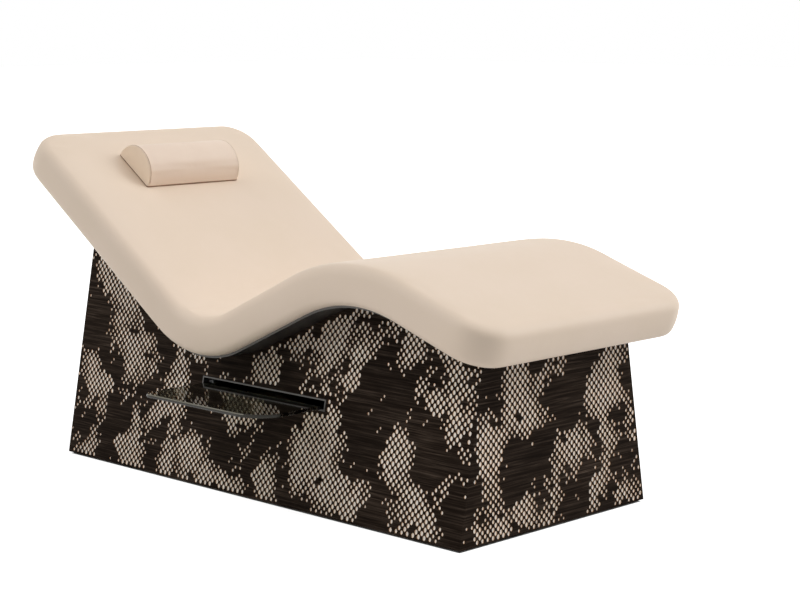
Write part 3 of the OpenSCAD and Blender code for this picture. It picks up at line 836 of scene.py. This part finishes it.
def end_board(name, node, seed, side):
    """An upright end board. side is -1 at the head and 1 at the foot."""
    top = min(roof_at(side * HALF_L), roof_at(side * (HALF_L - BOARD_T)))

    def half_w(z, depth):
        return BOARD_W / 2 - (z - BOARD_Z) * math.tan(LEAN) - depth / math.cos(LEAN)

    def outline(depth):
        low, high = half_w(BOARD_Z, depth), half_w(top, depth)
        return [(-low, BOARD_Z), (low, BOARD_Z), (high, top), (-high, top)]

    def free(u, v, a, b):
        return abs(u) < half_w(v + b, 0) - a and BOARD_Z + b < v < top - b

    holes = ovals(BOARD_W / 2, top, seed, free, BOARD_Z, side * HALF_L)

    def place(u, v, depth):
        return Vector((side * (HALF_L - depth), u, v))

    perforated(name, node, outline(0), outline(BOARD_T), holes, place, side < 0)


side_board("board_near", "side_board_near", seed=2.3, side=1, slotted=True)
side_board("board_far", "side_board_far", seed=8.1, side=-1, slotted=False)
end_board("board_head", "end_board_head", seed=5.7, side=-1)
end_board("board_foot", "end_board_foot", seed=11.9, side=1)


# Mattress


def smooth_step(t):
    t = max(0.0, min(1.0, t))
    return t * t * (3 - 2 * t)


def edge_distance(s, y):
    """Distance inwards from the mattress's outline seen from above."""
    a = min(s, WAVE_L - s)
    b = MATTRESS_W / 2 - abs(y)
    if a < CORNER_R and b < CORNER_R:
        return CORNER_R - math.hypot(CORNER_R - a, CORNER_R - b)
    return min(a, b)


def crown(s, y):
    """The top falls a little towards its edges; before the simulation it lies low."""
    if simulated:
        return -MATTRESS_CAP
    share = (edge_distance(s, y) - TOP_EDGE_R) / CROWN_REACH
    return -CROWN * (1 - smooth_step(share))


# Stations along the sides: both ends of each bend count, and no end of a straight
# stretch
BEND_STEPS = ((S_SEAT, S_THIGH, 18), (S_KNEE, S_CALF, 14))
STRAIGHT_STEPS = (
    (CORNER_R, S_SEAT, 22),
    (S_THIGH, S_KNEE, 9),
    (S_CALF, WAVE_L - CORNER_R, 6),
)
SIDE_STATIONS = sorted(
    [s for stretch in BEND_STEPS for s in steps(*stretch)]
    + [s for stretch in STRAIGHT_STEPS for s in steps(*stretch)[1:-1]]
)


def half_outline(inset):
    """Outline seen from above, along the near side from the head end to the foot end,
    as station and place across."""
    r = CORNER_R - inset
    turns = steps(0, math.pi / 2, CORNER_STEPS)
    edge = -MATTRESS_W / 2
    head = [(CORNER_R - r * math.cos(a), edge + CORNER_R - r * math.sin(a)) for a in turns]
    foot = [
        (WAVE_L - CORNER_R + r * math.cos(a), edge + CORNER_R - r * math.sin(a))
        for a in reversed(turns)
    ]
    return head + [(s, edge + inset) for s in SIDE_STATIONS] + foot


def edge_inset(r, a):
    """Inset of a rounded edge at an angle. The side between two edges bulges by SWELL."""
    return r * (1 - math.sin(a)) + SWELL * math.sin(a)


def mattress_levels():
    """Insets and lifts of the mattress's side from the top edge down."""
    levels = []
    for a in steps(0, math.pi / 2, TOP_EDGE_STEPS):
        levels.append((edge_inset(TOP_EDGE_R, a), TOP_EDGE_R * (math.cos(a) - 1)))
    low = LOW_EDGE_R - MATTRESS_T
    for i in range(1, SIDE_STEPS):
        t = i / SIDE_STEPS
        levels.append((SWELL * (2 * t - 1) ** 2, -TOP_EDGE_R + (low + TOP_EDGE_R) * t))
    for i in range(LOW_EDGE_STEPS + 1):
        a = math.pi / 2 * (1 - i / LOW_EDGE_STEPS)
        levels.append((edge_inset(LOW_EDGE_R, a), low - LOW_EDGE_R * math.cos(a)))
    return levels


def across_end(half, last):
    """Points between the near side's end and the far side's, on the way round."""
    s, y = half[-1] if last else half[0]
    return [(s, y * (1 - 2 * k / ACROSS_STEPS)) for k in range(1, ACROSS_STEPS)]


def mattress_ring(inset, lift):
    """Points of one level, along the near side, the foot, the far side and the head."""
    half = half_outline(inset)
    foot, head = across_end(half, True), across_end(half, False)
    loop = half + foot + [(s, -y) for s, y in reversed(half)] + head[::-1]
    fade = max(0.0, 1 + lift / TOP_EDGE_R)
    return [on_wave(s, y, lift + fade * crown(s, y)) for s, y in loop]


def mattress_rows(verts, base, ring_size, level, up):
    """Rows of vertex numbers across the top or the underside, inside the ring that
    starts at base. The points between the two sides are added to verts."""
    inset, lift = level
    half = half_outline(inset)
    across = range(1, ACROSS_STEPS)
    rows = []
    for i, (s, y) in enumerate(half):
        near, far = base + i, base + 2 * len(half) + ACROSS_STEPS - 2 - i
        if i == 0:
            middle = [base + ring_size - m for m in across]
        elif i == len(half) - 1:
            middle = [near + m for m in across]
        else:
            middle = [len(verts) + m - 1 for m in across]
            for m in across:
                t = y * (1 - 2 * m / ACROSS_STEPS)
                verts.append(on_wave(s, t, lift + (crown(s, t) if up else 0)))
        rows.append([near] + middle + [far])
    return rows


def mattress_mesh():
    levels = mattress_levels()
    rings = [mattress_ring(inset, lift) for inset, lift in levels]
    ring_size = len(rings[0])
    verts = [point for ring in rings for point in ring]
    faces = []
    for k in range(len(levels) - 1):
        for i in range(ring_size):
            j = (i + 1) % ring_size
            a, b = k * ring_size, (k + 1) * ring_size
            faces.append((a + j, a + i, b + i, b + j))
    for k, up in ((0, True), (len(levels) - 1, False)):
        rows = mattress_rows(verts, k * ring_size, ring_size, levels[k], up)
        for row, after in zip(rows, rows[1:]):
            for m in range(ACROSS_STEPS):
                quad = (row[m], after[m], after[m + 1], row[m + 1])
                faces.append(quad if up else quad[::-1])
    return verts, faces


def mattress_ease(co):
    """The sides are glued to firm foam; only the top is free to swell."""
    return smooth_step((co.z - height_at(co.x, TOP_LINE)) / TOP_EDGE_R + 1)


mattress = new_piece("mattress", *mattress_mesh(), looks["mattress"])
subdivide(mattress, 1)
if simulated:
    swell(bake(mattress), mattress_ease, MATTRESS_PRESSURE, MATTRESS_CAP)
    subdivide(mattress, 1)
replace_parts(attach(mattress, "base"), "mattress_cover", "mattress_foam")


# Pillow
PILLOW_AT, PILLOW_FALL = wave(PILLOW_S + PILLOW_R, PILLOW_LIFT)


def pillow_section(r):
    """Closed outline of the half-round as (along, off), round the axis of its base."""
    arc = [
        (r * math.cos(a), r * math.sin(a) * PILLOW_H / PILLOW_R)
        for a in steps(*PILLOW_ARC, PILLOW_TURNS)
    ]
    return arc + [(x, 0.0) for x in steps(PILLOW_FOOT - r, r - PILLOW_FOOT, PILLOW_BASE)]


def on_pillow(x, y, n):
    """Point in space down the fall by x, across at y, and n off the pillow's base."""
    place = PILLOW_AT + along(PILLOW_FALL) * x + off(PILLOW_FALL) * n
    return Vector((place.x, y, place.y))


def pillow_ease(co):
    """The base is held, and the cover is freer the higher it lies over it."""
    height = (Vector((co.x, co.z)) - PILLOW_AT).dot(off(PILLOW_FALL))
    return smooth_step(height / PILLOW_EASE)


def pillow_mesh(r, half):
    """The half-round with small rounded edges to its two flat ends."""
    verts, faces, rings = [], [], []
    soft = PILLOW_SOFT
    turns = [math.radians(t) for t in (90, 60, 30, 0)]
    edge = [(r - soft * (1 - math.sin(t)), half - soft * (1 - math.cos(t))) for t in turns]
    ends = [(radius, -y) for radius, y in reversed(edge)]
    middle = [(r, y) for y in steps(soft - half, half - soft, PILLOW_ACROSS)[1:-1]]
    for radius, y in ends + middle + edge:
        section = pillow_section(radius)
        rings.append([len(verts) + i for i in range(len(section))])
        verts += [on_pillow(x, y, n) for x, n in section]
    for a, b in zip(rings, rings[1:]):
        faces += band(a, b)
    section = pillow_section(r - soft)
    centre = END_CENTRE * (r - soft)
    for side, outer in ((-1, rings[0]), (1, rings[-1])):
        for share in END_RINGS:
            loop = [len(verts) + i for i in range(len(section))]
            for x, n in section:
                verts.append(on_pillow(x * share, side * half, centre + (n - centre) * share))
            quads = band(outer, loop)
            faces += quads if side > 0 else [quad[::-1] for quad in quads]
            outer = loop
        faces.append(tuple(outer) if side > 0 else tuple(reversed(outer)))
    return verts, faces


start_inset = PILLOW_CAP * PILLOW_START_SHARE if simulated else 0
pillow = new_piece(
    "neck_pillow",
    *pillow_mesh(PILLOW_R - start_inset, PILLOW_L / 2 - start_inset),
    looks["pillow"],
)
if simulated:
    swell(pillow, pillow_ease, PILLOW_PRESSURE, PILLOW_CAP)
# Painted light: the flat ends get the lighter copy of the leatherette
pillow.data.materials.append(looks["pillow_end"])
for face in pillow.data.polygons:
    if abs(face.normal.y) > END_FACING:
        face.material_index = 1
pillow_skin = bvhtree.BVHTree.FromPolygons(
    [v.co for v in pillow.data.vertices], [p.vertices for p in pillow.data.polygons]
)
subdivide(pillow, 1)
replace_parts(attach(pillow, "pillow"), "pillow_core", "pillow_wrap", "pillow_ends")


# Seams of the pillow


def tube(name, path, radius, material, closed=False):
    curve = bpy.data.curves.new(name, "CURVE")
    curve.dimensions = "3D"
    curve.bevel_depth = radius
    curve.bevel_resolution = TUBE_ROUNDNESS
    spline = curve.splines.new("POLY")
    spline.points.add(len(path) - 1)
    for point, p in zip(spline.points, path):
        point.co = (*p, 1)
    spline.use_cyclic_u = closed
    curve.materials.append(material)
    return add_object(name, curve)


def over_pillow(y, lift):
    """A line over the pillow at a place along it, lifted off its cover."""
    path = []
    for a in steps(*PILLOW_ARC, SEAM_STEPS):
        inner = on_pillow(0, y, SEAM_CAST_LIFT)
        outer = on_pillow(math.cos(a), y, math.sin(a))
        hit = pillow_skin.ray_cast(inner, (outer - inner).normalized())[0]
        path.append(hit + (hit - inner).normalized() * lift)
    return path


def round_base():
    """The line round the pillow's base, with small round corners."""
    half_x = PILLOW_R - SEAM_SHADOW_R - SEAM_SHADOW_CORNER
    half_y = PILLOW_L / 2 - SEAM_SHADOW_INSET - SEAM_SHADOW_CORNER
    path = []
    for x_side, y_side, turn in ((1, 1, 0), (-1, 1, 90), (-1, -1, 180), (1, -1, 270)):
        for a in (0, 30, 60, 90):
            t = math.radians(turn + a)
            x = x_side * half_x + SEAM_SHADOW_CORNER * math.cos(t)
            y = y_side * half_y + SEAM_SHADOW_CORNER * math.sin(t)
            path.append(on_pillow(x, y, SEAM_SHADOW_LIFT))
    return path


for side, name in ((-1, "near"), (1, "far")):
    y = side * (PILLOW_L / 2 - SEAM_INSET)
    # Painted shade: a darker tube sunk in the cover draws the seam's groove
    groove_path = over_pillow(y, -GROOVE_SUNK)
    groove_shade = tube(f"pillow_seam_{name}", groove_path, GROOVE_R[name], looks["seam"])
    welt_path = over_pillow(y + side * WELT_APART, -WELT_SUNK)
    welt = tube(f"pillow_welt_{name}", welt_path, WELT_R, looks["thread"])
    for piece in (groove_shade, welt):
        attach(piece, "pillow")
# Painted shadow: a seam round the base, coloured as the shadow line where the pillow sits on the
# cover
seam_painted_shadow = tube(
    "pillow_base_shadow_seam", round_base(), SEAM_SHADOW_R, looks["seam_painted_shadow"], closed=True
)
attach(seam_painted_shadow, "pillow")


# Tray


def rounded_plate(low, high):
    """A plate with two rounded front corners and polished round edges, as vertices and
    faces."""

    def loop(inset):
        x0, x1 = low.x + inset, high.x - inset
        y0, y1 = low.y + inset, high.y - inset
        turns = steps(0, math.pi / 2, GLASS_CORNER_STEPS)
        r, t = GLASS_HEAD_R - inset, GLASS_FOOT_R - inset
        left = [(x0 + r - r * math.cos(a), y0 + r - r * math.sin(a)) for a in turns]
        right = [(x1 - t + t * math.sin(a), y0 + t - t * math.cos(a)) for a in turns]
        return left + right + [(x1, y1), (x0, y1)]

    middle, half = (low.z + high.z) / 2, (high.z - low.z) / 2
    turns = steps(-math.pi / 2, math.pi / 2, GLASS_TURNS)
    sections = [(GLASS_ROUND * (1 - math.cos(a)), middle + half * math.sin(a)) for a in turns]
    verts = [(x, y, z) for inset, z in sections for x, y in loop(inset)]
    size = len(verts) // len(sections)
    faces = [tuple(reversed(range(size))), tuple(range(GLASS_TURNS * size, len(verts)))]
    for k in range(GLASS_TURNS):
        below, above = k * size, (k + 1) * size
        faces += band(range(below, above), range(above, above + size))
    return verts, faces


glass = new_piece(
    "tray_plate", *rounded_plate(*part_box("tray_glass")), looks["glass"], smooth=False
)
glass.data.materials.append(looks["glass_edge"])
glass.data.materials.append(looks["glass_arris_painted_highlight"])
for face in glass.data.polygons:
    level = face.normal.copy()
    level.z = 0
    outwards = level.normalized().y
    if abs(face.normal.z) < GLASS_FLAT and outwards < GLASS_SIDE:
        # Painted highlight: the upward-turned faces of the front edge get the light copy
        painted_highlight = face.normal.z > GLASS_HIGHLIGHT_TILT and outwards < GLASS_FRONT
        face.material_index = 2 if painted_highlight else 1
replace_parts(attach(glass, "tray"), "tray_glass")


# Stage and light


def soft_sun(name, source, power, angle):
    data = bpy.data.lights.new(name, "SUN")
    data.energy = power
    data.angle = math.radians(angle)
    light = add_object(name, data)
    light.rotation_mode = "QUATERNION"
    light.rotation_quaternion = (-Vector(source)).to_track_quat("-Z", "Y")


def seen_rays(t):
    """1 for the rays that show the stage: camera, glossy and transmission."""
    path = t.add("ShaderNodeLightPath")
    seen = path.outputs["Is Camera Ray"]
    for name in ("Is Glossy Ray", "Is Transmission Ray"):
        seen = t.maths("MAXIMUM", seen, path.outputs[name])
    return seen


def shown_or_lit(t, lit, shown):
    """The second shader for the rays that show the stage, the first for all others."""
    node = t.add("ShaderNodeMixShader")
    t.feed(node.inputs["Fac"], seen_rays(t))
    t.feed(node.inputs[1], lit)
    t.feed(node.inputs[2], shown)
    return node.outputs["Shader"]


def studio_world():
    world = bpy.data.worlds.new("studio")
    bpy.context.scene.world = world
    world.use_nodes = True
    t = Tree(world.node_tree)
    t.tree.nodes.clear()
    output = t.add("ShaderNodeOutputWorld")
    ambient = t.add("ShaderNodeBackground", Color=AMBIENT_COLOUR, Strength=AMBIENT)
    white = t.add("ShaderNodeBackground", Color=WHITE, Strength=1.0)
    sky = shown_or_lit(t, ambient.outputs["Background"], white.outputs["Background"])
    t.feed(output.inputs["Surface"], sky)


def studio_floor():
    """Material that keeps the shadow and looks white, with no glow under the housing."""
    material = bpy.data.materials.new("floor")
    material.use_nodes = True
    t = Tree(material.node_tree)
    t.tree.nodes.clear()
    output = t.add("ShaderNodeOutputMaterial")
    diffuse = t.add("ShaderNodeBsdfDiffuse", Color=FLOOR_COLOUR)
    apart = t.add("ShaderNodeSeparateXYZ")
    t.feed(apart.inputs["Vector"], t.add("ShaderNodeNewGeometry").outputs["Position"])
    within = [
        t.maths("LESS_THAN", t.maths("ABSOLUTE", apart.outputs[axis]), half - GLOW_INSET)
        for axis, half in (("X", HALF_L), ("Y", BOARD_W / 2))
    ]
    glow = t.add("ShaderNodeEmission", Color=WHITE)
    inside = t.maths("MULTIPLY", *within)
    t.feed(glow.inputs["Strength"], t.between(inside, FLOOR_GLOW, 0.0))
    nothing = t.add("ShaderNodeEmission", Strength=0.0)
    shown = shown_or_lit(t, nothing.outputs["Emission"], glow.outputs["Emission"])
    total = t.add("ShaderNodeAddShader")
    t.feed(total.inputs[0], diffuse.outputs["BSDF"])
    t.feed(total.inputs[1], shown)
    t.feed(output.inputs["Surface"], total.outputs["Shader"])
    return material


for name, sun in SUNS.items():
    soft_sun(name, *sun)
studio_world()
corners = [(-1, -1), (1, -1), (1, 1), (-1, 1)]
floor = new_piece(
    "floor",
    [(x * FLOOR_REACH, y * FLOOR_REACH, 0) for x, y in corners],
    [(0, 1, 2, 3)],
    studio_floor(),
    smooth=False,
)

bpy.context.scene.view_settings.view_transform = "Standard"
